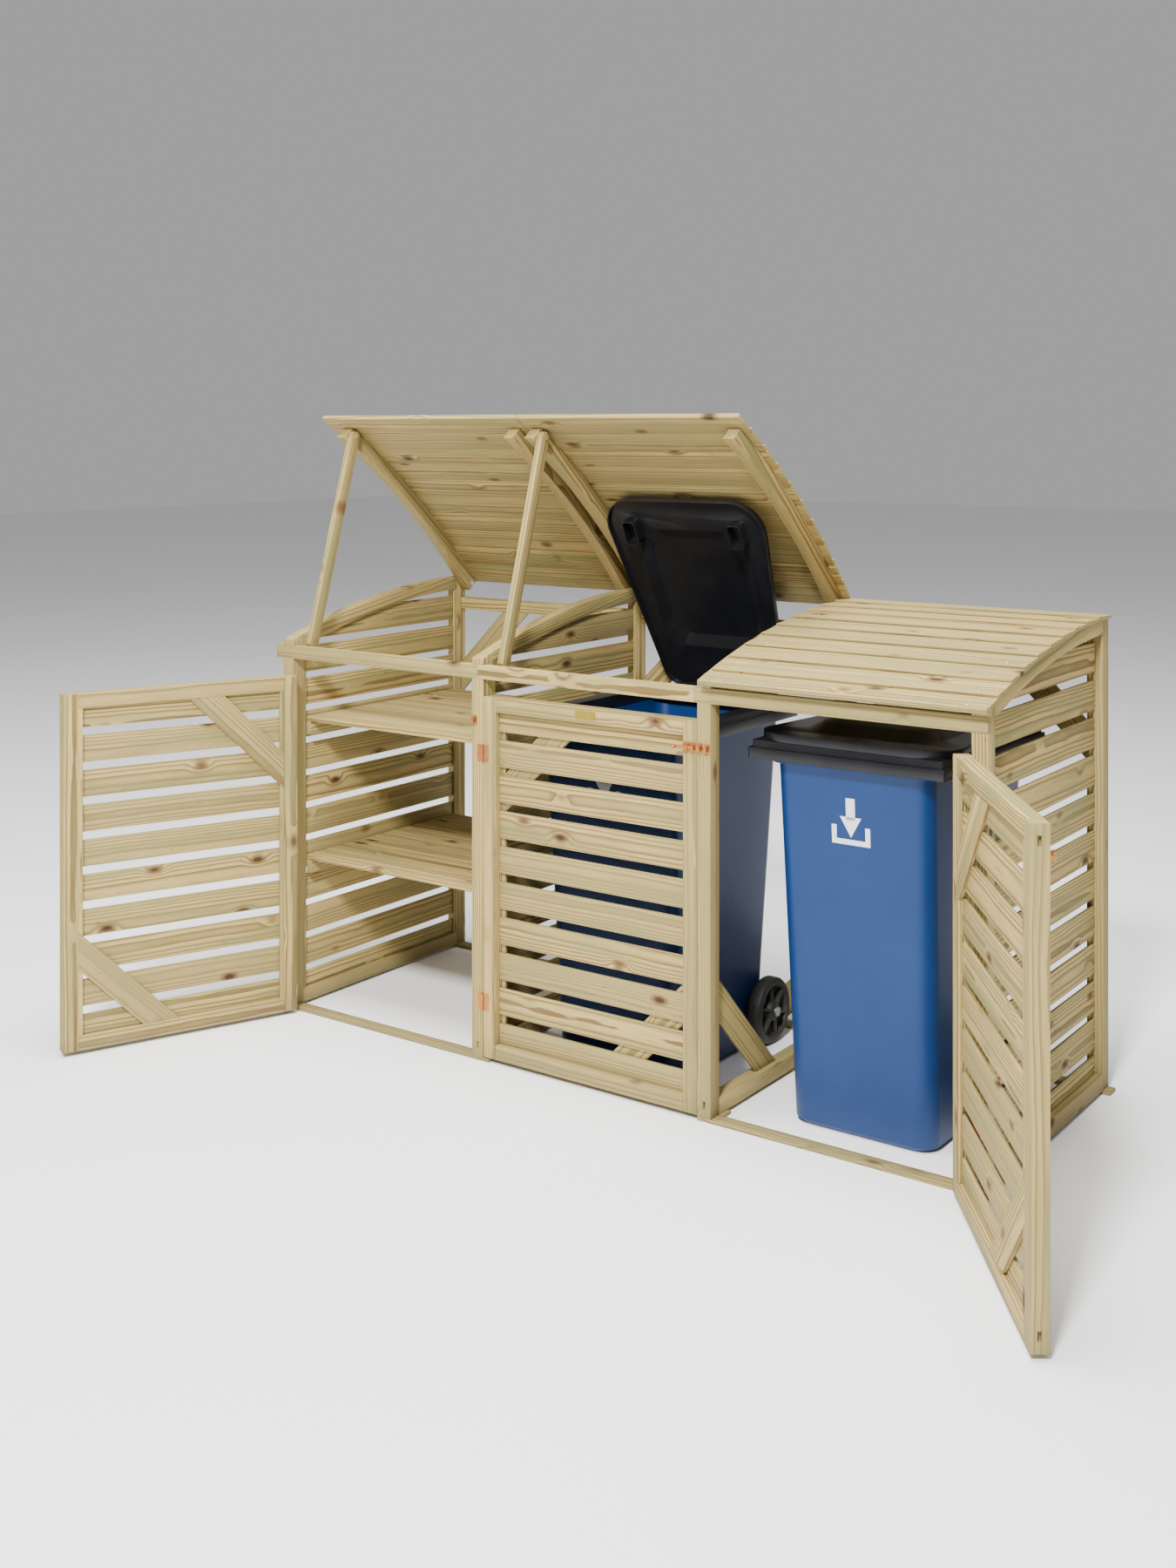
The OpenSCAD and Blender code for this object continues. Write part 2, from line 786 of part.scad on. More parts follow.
module bin_body_node(bay) color(blue) place_bin(bay) bin_body_shape();
module bin_rim_node(bay) color(black) place_bin(bay) bin_rim_shape();
module bin_lid_node(bay, open) color(black) place_bin(bay) swing_bin_lid(open) bin_lid_shape();
module bin_pins_node(bay) color(black) place_bin(bay) bin_pins_shape();
module bin_axle_node(bay) color(steel) place_bin(bay) bin_axle_shape();
module bin_wheel_node(bay, side) color(black) place_bin(bay) wheel_shape(side);

// ---------------------------------------------------------------- nodes

posts(0, false, true);  // left_frame_posts
frame_rails(0);  // left_frame_rails
frame_slats(0, 0);  // left_frame_slats
posts(bay_pitch, true, true);  // divider_1_posts
frame_rails(bay_pitch);  // divider_1_rails
frame_slats(bay_pitch, 0);  // divider_1_slats
posts(2 * bay_pitch, true, true);  // divider_2_posts
frame_rails(2 * bay_pitch);  // divider_2_rails
posts(3 * bay_pitch, true, false);  // right_frame_posts
frame_rails(3 * bay_pitch);  // right_frame_rails
frame_slats(3 * bay_pitch, 1);  // right_frame_slats
slat_cleats();
corner_braces();
front_top_rails();
rear_top_rails();
ground_runners();
shelf_planks();
shelf_bearers();
door_hinge_fixed_leaves();
bolt_keepers();
lid_pivot_bolts();

color(wood) left_door() door_frame_shape();  // left_door_frame
color(wood) left_door() door_slats_shape();  // left_door_slats
color(wood) left_door() door_braces_shape();  // left_door_braces
color(copper) left_door() door_hardware_shape();  // left_door_hardware
color(copper) left_door() door_bolt_shape();  // left_door_bolt
color(wood) middle_door() door_frame_shape();  // middle_door_frame
color(wood) middle_door() door_slats_shape();  // middle_door_slats
color(wood) middle_door() door_braces_shape();  // middle_door_braces
color(copper) middle_door() door_hardware_shape();  // middle_door_hardware
color(copper) middle_door() door_bolt_shape();  // middle_door_bolt
name_plate();
color(wood) right_door() door_frame_shape();  // right_door_frame
color(wood) right_door() door_slats_shape();  // right_door_slats
color(wood) right_door() door_braces_shape();  // right_door_braces
color(copper) right_door() door_hardware_shape();  // right_door_hardware
color(copper) right_door() door_bolt_shape();  // right_door_bolt

lid_boards_node(0, lid_open);  // left_lid_boards
lid_ribs_node(0, lid_open);  // left_lid_ribs
lid_prop_node(0, false);  // left_lid_prop
lid_boards_node(1, lid_open);  // middle_lid_boards
lid_ribs_node(1, lid_open);  // middle_lid_ribs
lid_prop_node(1, false);  // middle_lid_prop
lid_boards_node(2, 0);  // right_lid_boards
lid_ribs_node(2, 0);  // right_lid_ribs
lid_prop_node(2, true);  // right_lid_prop

bin_body_node(1);  // middle_bin_body
bin_rim_node(1);  // middle_bin_rim
bin_lid_node(1, bin_open);  // middle_bin_lid
bin_pins_node(1);  // middle_bin_lid_pins
bin_axle_node(1);  // middle_bin_axle
bin_wheel_node(1, -1);  // middle_bin_left_wheel
bin_wheel_node(1, 1);  // middle_bin_right_wheel
bin_body_node(2);  // right_bin_body
bin_rim_node(2);  // right_bin_rim
bin_lid_node(2, 0);  // right_bin_lid
bin_pins_node(2);  // right_bin_lid_pins
bin_axle_node(2);  // right_bin_axle
bin_wheel_node(2, -1);  // right_bin_left_wheel
bin_wheel_node(2, 1);  // right_bin_right_wheel
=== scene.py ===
"""Looks of a slatted timber store for three wheeled bins, with two bins in it.

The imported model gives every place. Timber and moulded parts are worked copies of the
model's own nodes with eased edges, small fittings are added, and every surface gets a
procedural finish.
"""
from __future__ import annotations

import json
import logging
import math
import random
from dataclasses import dataclass
from enum import Enum
from typing import Any, Iterable, Sequence

import bpy
import numpy as np
from mathutils import Matrix, Vector
from mathutils.bvhtree import BVHTree
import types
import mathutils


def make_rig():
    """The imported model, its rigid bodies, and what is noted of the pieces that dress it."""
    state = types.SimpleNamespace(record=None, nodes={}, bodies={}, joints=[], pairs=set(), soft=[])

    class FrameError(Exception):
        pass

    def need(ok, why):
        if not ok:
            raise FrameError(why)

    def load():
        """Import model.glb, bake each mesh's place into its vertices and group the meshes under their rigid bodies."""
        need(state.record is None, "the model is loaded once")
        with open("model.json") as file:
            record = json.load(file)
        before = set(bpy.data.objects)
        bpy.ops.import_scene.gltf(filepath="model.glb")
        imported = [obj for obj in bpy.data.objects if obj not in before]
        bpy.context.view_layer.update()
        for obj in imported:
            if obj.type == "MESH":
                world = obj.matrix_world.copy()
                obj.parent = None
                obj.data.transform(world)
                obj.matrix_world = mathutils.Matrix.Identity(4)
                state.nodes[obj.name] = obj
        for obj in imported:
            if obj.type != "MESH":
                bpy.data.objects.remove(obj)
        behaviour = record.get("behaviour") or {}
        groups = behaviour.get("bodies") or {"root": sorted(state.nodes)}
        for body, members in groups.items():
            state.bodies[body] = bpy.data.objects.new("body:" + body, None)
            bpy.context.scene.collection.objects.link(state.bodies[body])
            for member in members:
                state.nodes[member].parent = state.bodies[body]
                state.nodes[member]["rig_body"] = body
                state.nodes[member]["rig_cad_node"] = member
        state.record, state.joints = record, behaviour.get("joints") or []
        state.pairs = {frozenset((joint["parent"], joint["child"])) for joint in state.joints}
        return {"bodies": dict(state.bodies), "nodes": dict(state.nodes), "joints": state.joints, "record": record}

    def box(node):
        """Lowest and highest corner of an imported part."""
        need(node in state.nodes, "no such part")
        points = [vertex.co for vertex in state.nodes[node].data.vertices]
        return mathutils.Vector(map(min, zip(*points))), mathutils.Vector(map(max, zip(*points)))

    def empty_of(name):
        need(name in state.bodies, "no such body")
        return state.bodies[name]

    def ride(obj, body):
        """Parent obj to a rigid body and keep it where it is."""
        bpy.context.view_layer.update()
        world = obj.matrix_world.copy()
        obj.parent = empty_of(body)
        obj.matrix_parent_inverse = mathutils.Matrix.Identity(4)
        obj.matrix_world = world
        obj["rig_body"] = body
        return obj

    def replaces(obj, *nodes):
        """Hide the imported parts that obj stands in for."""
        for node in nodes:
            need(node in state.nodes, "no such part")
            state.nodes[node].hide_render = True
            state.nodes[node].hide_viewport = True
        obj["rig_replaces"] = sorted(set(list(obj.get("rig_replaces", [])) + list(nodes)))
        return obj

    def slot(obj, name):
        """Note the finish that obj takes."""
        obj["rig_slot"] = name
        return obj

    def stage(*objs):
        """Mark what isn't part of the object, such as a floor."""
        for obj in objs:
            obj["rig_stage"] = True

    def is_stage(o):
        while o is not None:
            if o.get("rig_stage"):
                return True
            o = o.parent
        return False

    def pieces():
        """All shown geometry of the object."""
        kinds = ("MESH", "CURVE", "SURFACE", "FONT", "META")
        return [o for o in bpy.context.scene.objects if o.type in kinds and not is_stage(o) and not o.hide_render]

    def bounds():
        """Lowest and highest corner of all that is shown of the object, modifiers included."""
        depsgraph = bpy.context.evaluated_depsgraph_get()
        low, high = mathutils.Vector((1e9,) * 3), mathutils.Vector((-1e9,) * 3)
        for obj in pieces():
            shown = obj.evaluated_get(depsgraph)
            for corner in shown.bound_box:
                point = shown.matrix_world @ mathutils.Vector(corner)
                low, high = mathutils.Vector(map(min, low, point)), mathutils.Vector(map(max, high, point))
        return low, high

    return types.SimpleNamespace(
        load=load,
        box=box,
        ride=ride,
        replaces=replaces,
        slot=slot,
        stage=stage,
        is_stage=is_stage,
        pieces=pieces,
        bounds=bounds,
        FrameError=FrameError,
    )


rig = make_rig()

LOG = logging.getLogger("bin_store")
MM = 0.001
ROOT_BODY = "store_frame"
SIZE_FILE = "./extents.json"
LID_INSET = 0.058
LID_ROWS = (-0.05, 0.55)
SLAT_INSET = 0.007
SLAT_ROWS = (-0.5, 0.5)
SEED = 11


class Slot(str, Enum):
    """Material slots of the record."""

    TIMBER = "timber"
    COPPERED = "coppered_steel"
    ZINC = "zinc_steel"
    BRASS = "brass"
    BLUE = "blue_plastic"
    BLACK = "black_plastic"
    TYRE = "tyre_rubber"


class Wire:
    """A shader value that grows maths nodes when it is combined with others."""

    def __init__(self, sheet: "Sheet", socket: Any) -> None:
        """Wraps a socket.

        Args:
            sheet: The node sheet that the value lives on.
            socket: An output socket, or a plain number.
        """
        self.sheet = sheet
        self.socket = socket

    def maths(self, operation: str, *others: Any) -> "Wire":
        """Adds a maths node with this value as its first operand.

        Args:
            operation: A Blender maths operation.
            others: Further operands, wires or numbers.

        Returns:
            The result as a new wire.
        """
        inputs = {i: v for i, v in enumerate((self, *others))}
        return self.sheet.node("ShaderNodeMath", inputs, operation=operation)

    def __add__(self, other: Any) -> "Wire":
        """Returns: This value plus another."""
        return self.maths("ADD", other)

    def __radd__(self, other: Any) -> "Wire":
        """Returns: Another value plus this one."""
        return self.maths("ADD", other)

    def __sub__(self, other: Any) -> "Wire":
        """Returns: This value less another."""
        return self.maths("SUBTRACT", other)

    def __rsub__(self, other: Any) -> "Wire":
        """Returns: Another value less this one."""
        return Wire(self.sheet, other).maths("SUBTRACT", self)

    def __mul__(self, other: Any) -> "Wire":
        """Returns: This value times another."""
        return self.maths("MULTIPLY", other)

    def __rmul__(self, other: Any) -> "Wire":
        """Returns: Another value times this one."""
        return self.maths("MULTIPLY", other)

    def __truediv__(self, other: Any) -> "Wire":
        """Returns: This value over another."""
        return self.maths("DIVIDE", other)

    def __pow__(self, other: Any) -> "Wire":
        """Returns: This value to a power."""
        return self.maths("POWER", other)

    def fraction(self) -> "Wire":
        """Returns: What is left of the value after its whole part."""
        return self.maths("FRACT")

    def step(self, low: float, high: float) -> "Wire":
        """Steps smoothly from 0 to 1.

        Args:
            low: Where the smooth step is 0.
            high: Where it is 1; it may be below low.

        Returns:
            A smooth step between the two.
        """
        if low <= high:
            return self.sheet.smooth(self, low, high)
        return 1.0 - self.sheet.smooth(self, high, low)


class Sheet:
    """The node sheet of one material, ending in a Principled shader."""

    def __init__(self, name: str) -> None:
        """Starts a material.

        Args:
            name: The material's name.
        """
        self.material = bpy.data.materials.new(name)
        self.material.use_nodes = True
        self.tree = self.material.node_tree
        self.shader = next(n for n in self.tree.nodes if n.type == "BSDF_PRINCIPLED")

    def node(
        self, kind: str, inputs: dict[Any, Any], output: Any = 0, **settings: Any
    ) -> Wire:
        """Adds a node, sets it up and joins its inputs.

        Args:
            kind: The node's type name.
            inputs: Values or wires by input name or number.
            output: Name or number of the output to return.
            settings: Properties of the node.

        Returns:
            The chosen output.
        """
        made = self.tree.nodes.new(kind)
        for key, value in settings.items():
            setattr(made, key, value)
        for key, value in inputs.items():
            self.plug(made.inputs[key], value)
        return Wire(self, made.outputs[output])

    def plug(self, socket: Any, value: Any) -> None:
        """Feeds an input.

        Args:
            socket: The input to feed.
            value: A wire, a number or a colour.
        """
        if isinstance(value, Wire) and not isinstance(value.socket, (int, float)):
            self.tree.links.new(value.socket, socket)
            return
        plain = value.socket if isinstance(value, Wire) else value
        if isinstance(plain, tuple) and len(plain) == 3 and socket.type == "RGBA":
            plain = (*plain, 1.0)
        socket.default_value = plain

    def smooth(self, value: Any, low: float, high: float) -> Wire:
        """Returns: A smooth step of value from low to high."""
        inputs = {"Value": value, "From Min": low, "From Max": high}
        return self.node("ShaderNodeMapRange", inputs, interpolation_type="SMOOTHSTEP")

    def place(self) -> Wire:
        """Returns: The point on the piece, in metres."""
        return self.node("ShaderNodeTexCoord", {}, "Object")

    def attribute(self, name: str, output: str) -> Wire:
        """Returns: An attribute of the mesh."""
        return self.node("ShaderNodeAttribute", {}, output, attribute_name=name)

    def parts(self, vector: Wire) -> tuple[Wire, Wire, Wire]:
        """Returns: The three parts of a vector."""
        made = self.node("ShaderNodeSeparateXYZ", {0: vector}).socket.node
        return tuple(Wire(self, made.outputs[i]) for i in range(3))

    def vector(self, x: Any, y: Any, z: Any) -> Wire:
        """Returns: A vector of three values."""
        return self.node("ShaderNodeCombineXYZ", {0: x, 1: y, 2: z})

    def noise(
        self, vector: Wire, scale: float, detail: float = 3.0, rough: float = 0.5
    ) -> Wire:
        """Returns: Noise between 0 and 1 at a point."""
        inputs = {"Vector": vector, "Scale": scale, "Detail": detail, "Roughness": rough}
        return self.node("ShaderNodeTexNoise", inputs, "Fac")

    def mix(self, factor: Any, first: Any, second: Any) -> Wire:
        """Returns: A colour between first and second."""
        inputs = {"Factor": factor, 6: first, 7: second}
        return self.node("ShaderNodeMix", inputs, 2, data_type="RGBA")

    def bump(self, height: Wire, strength: float, distance: float) -> Wire:
        """Returns: A normal roughened by height; distance is in metres."""
        inputs = {"Height": height, "Strength": strength, "Distance": distance}
        return self.node("ShaderNodeBump", inputs, "Normal")

    def finish(self, **sockets: Any) -> bpy.types.Material:
        """Feeds the shader.

        Args:
            sockets: Values for the shader, with underscores for spaces.

        Returns:
            The finished material.
        """
        for name, value in sockets.items():
            self.plug(self.shader.inputs[name.replace("_", " ")], value)
        return self.material


@dataclass(frozen=True)
class Timber:
    """Pressure-treated pine with rings, knots, fibre and a tone for each board."""

    light: tuple[float, float, float] = (0.500, 0.365, 0.132)
    ring: tuple[float, float, float] = (0.135, 0.082, 0.024)
    green: tuple[float, float, float] = (0.215, 0.205, 0.074)
    brown: tuple[float, float, float] = (0.225, 0.152, 0.052)
    knot: tuple[float, float, float] = (0.040, 0.017, 0.007)
    knot_rim: tuple[float, float, float] = (0.120, 0.058, 0.020)
    pin_knot: tuple[float, float, float] = (0.075, 0.036, 0.014)
    dull: tuple[float, float, float] = (0.27, 0.215, 0.085)
    splash: tuple[float, float, float] = (0.15, 0.125, 0.07)
    ring_gap: float = 0.0078
    splash_height: float = 0.085

    def make(self) -> bpy.types.Material:
        """Returns: The material."""
        s = Sheet("treated_pine")
        along, across, through = s.parts(s.attribute("grain", "Vector"))
        tone = s.attribute("tone", "Fac")
        drift = s.noise(s.vector(along * 1.1, across * 2.0, through * 2.0), 1.0, 2.0)
        cells = s.vector(along * 6.2, across * 13.0, tone * 37.0)
        knots = s.node("ShaderNodeTexVoronoi", {"Vector": cells, "Scale": 1.0}, "Distance")
        chance = s.parts(Wire(s, knots.socket.node.outputs["Color"]))[0]
        present = chance.step(0.44, 0.48)
        near = knots.step(0.40, 0.04) * present
        heart = knots.step(0.135, 0.070) * present
        rim = knots.step(0.24, 0.12) * present
        pins = s.noise(s.vector(along * 34.0, across * 95.0, through * 95.0), 1.0, 2.0)
        pins = pins.step(0.745, 0.80)
        sideways = across + near * 0.010 + (drift - 0.5) * 0.030
        radius = (sideways ** 2.0 + (through + 0.022 + tone * 0.03) ** 2.0) ** 0.5
        wobble = s.noise(s.vector(along * 5.0, across * 30.0, through * 30.0), 1.0, 3.0)
        turn = (radius / self.ring_gap + wobble * 0.55 + near * 0.8).fraction()
        late = turn.step(0.35, 0.93) * turn.step(1.0, 0.95)
        fibre = s.noise(s.vector(along * 9.0, across * 420.0, through * 420.0), 1.0, 4.0, 0.65)
        stain = s.noise(s.vector(along * 1.8, across * 24.0, through * 24.0), 1.0, 4.0, 0.6)
        wood = s.mix(late * 0.95, self.light, self.ring)
        wood = s.mix(fibre.step(0.38, 0.72) * 0.55, wood, self.brown)
        wood = s.mix(stain.step(0.42, 0.68) * 0.75, wood, self.green)
        wood = s.mix(tone.step(0.75, 0.0) * 0.60, wood, self.dull)
        wood = s.mix(rim * 0.80, wood, self.knot_rim)
        wood = s.mix(pins * 0.75, wood, self.pin_knot)
        wood = s.mix(heart * (0.75 + fibre * 0.25), wood, self.knot)
        height = s.parts(s.place())[2]
        splashed = height.step(self.splash_height, 0.0) * (0.15 + stain * 0.45)
        wood = s.mix(splashed, wood, self.splash)
        sawn = s.noise(s.vector(along * 60.0, across * 260.0, through * 260.0), 1.0, 3.0, 0.7)
        relief = sawn * 0.5 + late * 0.35 + fibre * 0.35 - heart * 0.5
        return s.finish(
            Base_Color=wood,
            Roughness=0.66 + fibre * 0.22,
            Specular_IOR_Level=0.28,
            Normal=s.bump(relief, 0.42, 0.0008),
        )


@dataclass(frozen=True)
class Plating:
    """Plated or solid metal with fine brushing, stains and duller patches."""

    name: str
    colour: tuple[float, float, float]
    stain: tuple[float, float, float]
    rough: float

    def make(self) -> bpy.types.Material:
        """Returns: The material."""
        s = Sheet(self.name)
        place = s.place()
        x, y, z = s.parts(place)
        patches = s.noise(place, 70.0, 4.0, 0.6)
        brush = s.noise(s.vector(x * 300.0, y * 300.0, z * 2600.0), 1.0, 2.0)
        specks = s.noise(place, 900.0, 2.0).step(0.66, 0.74)
        colour = s.mix(patches.step(0.45, 0.75) * 0.55 + specks * 0.3, self.colour, self.stain)
        return s.finish(
            Base_Color=colour,
            Metallic=0.95 - specks * 0.4,
            Roughness=self.rough + patches * 0.16 + brush * 0.10,
            Normal=s.bump(brush + patches, 0.10, 0.0003),
        )


@dataclass(frozen=True)
class Moulding:
    """Moulded plastic or rubber: fine texture, scuffs, and dust near the ground."""

    name: str
    colour: tuple[float, float, float]
    scuff: tuple[float, float, float]
    rough: float
    dust: float = 0.35
    dust_colour: tuple[float, float, float] = (0.30, 0.27, 0.22)
    dust_height: float = 0.32

    def make(self) -> bpy.types.Material:
        """Returns: The material."""
        s = Sheet(self.name)
        place = s.place()
        x, y, z = s.parts(place)
        leather = s.noise(place, 1100.0, 2.0)
        cloud = s.noise(place, 7.0, 4.0, 0.6)
        streaks = s.noise(s.vector(x * 55.0, y * 55.0, z * 7.0), 1.0, 5.0, 0.7)
        scuffs = streaks.step(0.60, 0.72) * cloud.step(0.45, 0.62)
        low = z.step(self.dust_height, 0.0) * (0.25 + cloud * 0.75) * self.dust
        colour = s.mix(cloud.step(0.3, 0.8) * 0.22, self.colour, self.scuff)
        colour = s.mix(scuffs * 0.20, colour, self.scuff)
        colour = s.mix(low, colour, self.dust_colour)
        return s.finish(
            Base_Color=colour,
            Roughness=self.rough + scuffs * 0.16 + leather * 0.08 + low * 0.3,
            Specular_IOR_Level=0.30,
            Normal=s.bump(leather * 0.6 + streaks * 0.15, 0.16, 0.0004),
        )


class Finishes:
    """All finishes, made once and handed out by slot."""

    def __init__(self) -> None:
        """Makes every finish."""
        copper = Plating("copper_plate", (0.52, 0.225, 0.075), (0.28, 0.11, 0.035), 0.33)
        zinc = Plating("zinc_plate", (0.58, 0.59, 0.61), (0.36, 0.36, 0.36), 0.30)
        brass = Plating("brass_plate", (0.45, 0.35, 0.06), (0.24, 0.18, 0.03), 0.24)
        blue = Moulding(
            "blue_moulding", (0.001, 0.027, 0.120), (0.006, 0.045, 0.165), 0.40, 0.05
        )
        black = Moulding(
            "black_moulding", (0.006, 0.006, 0.0075), (0.030, 0.030, 0.033), 0.26, 0.1
        )
        tyre = Moulding("tyre", (0.010, 0.010, 0.011), (0.045, 0.044, 0.042), 0.52, 0.12)
        white = Moulding("white_print", (0.74, 0.76, 0.78), (0.45, 0.48, 0.52), 0.50, 0.1)
        self.by_slot: dict[Slot, bpy.types.Material] = {
            Slot.TIMBER: Timber().make(),
            Slot.COPPERED: copper.make(),
            Slot.ZINC: zinc.make(),
            Slot.BRASS: brass.make(),
            Slot.BLUE: blue.make(),
            Slot.BLACK: black.make(),
            Slot.TYRE: tyre.make(),
        }
        self.print = white.make()


class Bench:
    """Modelling steps that are repeated on many pieces."""

    MERGE = 0.00002
    FLAT_DEGREES = 0.3

    @staticmethod
    def clear() -> None:
        """Leaves edit mode and deselects everything."""
        if bpy.context.object and bpy.context.object.mode != "OBJECT":
            bpy.ops.object.mode_set(mode="OBJECT")
        bpy.ops.object.select_all(action="DESELECT")

    @staticmethod
    def take(obj: bpy.types.Object) -> bpy.types.Object:
        """Makes a piece the only selected and active object.

        Args:
            obj: The piece.

        Returns:
            The same piece.
        """
        Bench.clear()
        obj.select_set(True)
        bpy.context.view_layer.objects.active = obj
        return obj

    @staticmethod
    def name(obj: bpy.types.Object, name: str) -> bpy.types.Object:
        """Names an object and its mesh.

        Args:
            obj: The piece.
            name: Its name.

        Returns:
            The same piece.
        """
        obj.name = name
        obj.data.name = name
        return obj

    @staticmethod
    def settle(obj: bpy.types.Object) -> bpy.types.Object:
        """Puts the object's place into its mesh.

        Args:
            obj: The piece.

        Returns:
            The same piece.
        """
        Bench.take(obj)
        bpy.ops.object.transform_apply(location=True, rotation=True, scale=True)
        return obj

    @staticmethod
    def soften(
        obj: bpy.types.Object, width: float, segments: int, angle: float = 35.0
    ) -> None:
        """Eases every sharp edge and shades the rest smooth.

        Args:
            obj: The piece.
            width: Width of the eased edge in metres.
            segments: Number of strips across it.
            angle: Sharpest angle in degrees that stays as it is.
        """
        Bench.take(obj)
        bevel = obj.modifiers.new("eased", "BEVEL")
        bevel.width = width
        bevel.segments = segments
        bevel.limit_method = "ANGLE"
        bevel.angle_limit = math.radians(angle)
        bevel.use_clamp_overlap = True
        bpy.ops.object.modifier_apply(modifier=bevel.name)
        bpy.ops.object.shade_smooth_by_angle(angle=math.radians(angle))

    @staticmethod
    def copy_node(node: bpy.types.Object, name: str) -> bpy.types.Object:
        """Copies a model node, merged and with clean flat faces.

        Args:
            node: The model's node.
            name: The copy's name.

        Returns:
            The copy.
        """
        Bench.clear()
        made = bpy.data.objects.new(name, node.data.copy())
        bpy.context.collection.objects.link(made)
        for key in [k for k in made.data.keys() if k.startswith("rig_")]:
            del made.data[key]
        Bench.name(made, name)
        made.matrix_world = Matrix.Identity(4)
        Bench.take(made)
        if made.data.has_custom_normals:
            bpy.ops.mesh.customdata_custom_splitnormals_clear()
        bpy.ops.object.mode_set(mode="EDIT")
        bpy.ops.mesh.select_all(action="SELECT")
        bpy.ops.mesh.remove_doubles(threshold=Bench.MERGE)
        bpy.ops.mesh.dissolve_limited(angle_limit=math.radians(Bench.FLAT_DEGREES))
        bpy.ops.mesh.normals_make_consistent(inside=False)
        bpy.ops.object.mode_set(mode="OBJECT")
        return made

    @staticmethod
    def copies(
        pattern: bpy.types.Object, places: Iterable[Matrix], name: str
    ) -> bpy.types.Object:
        """Joins copies of a pattern, each with its own mesh, and removes the pattern.

        Args:
            pattern: The piece modelled once, at the origin.
            places: Where each copy goes.
            name: The joined piece's name.

        Returns:
            The joined piece.
        """
        made = []
        for place in places:
            one = bpy.data.objects.new(name, pattern.data.copy())
            bpy.context.collection.objects.link(one)
            one.data.transform(place)
            made.append(one)
        Bench.clear()
        for one in made:
            one.select_set(True)
        bpy.context.view_layer.objects.active = made[0]
        if len(made) > 1:
            bpy.ops.object.join()
        bpy.data.objects.remove(pattern)
        return Bench.name(made[0], name)


@dataclass
class Board:
    """One solid of a timber piece: its middle, own directions and half sizes."""

    middle: Vector
    axes: tuple[Vector, Vector, Vector]
    half: tuple[float, float, float]
    points: np.ndarray


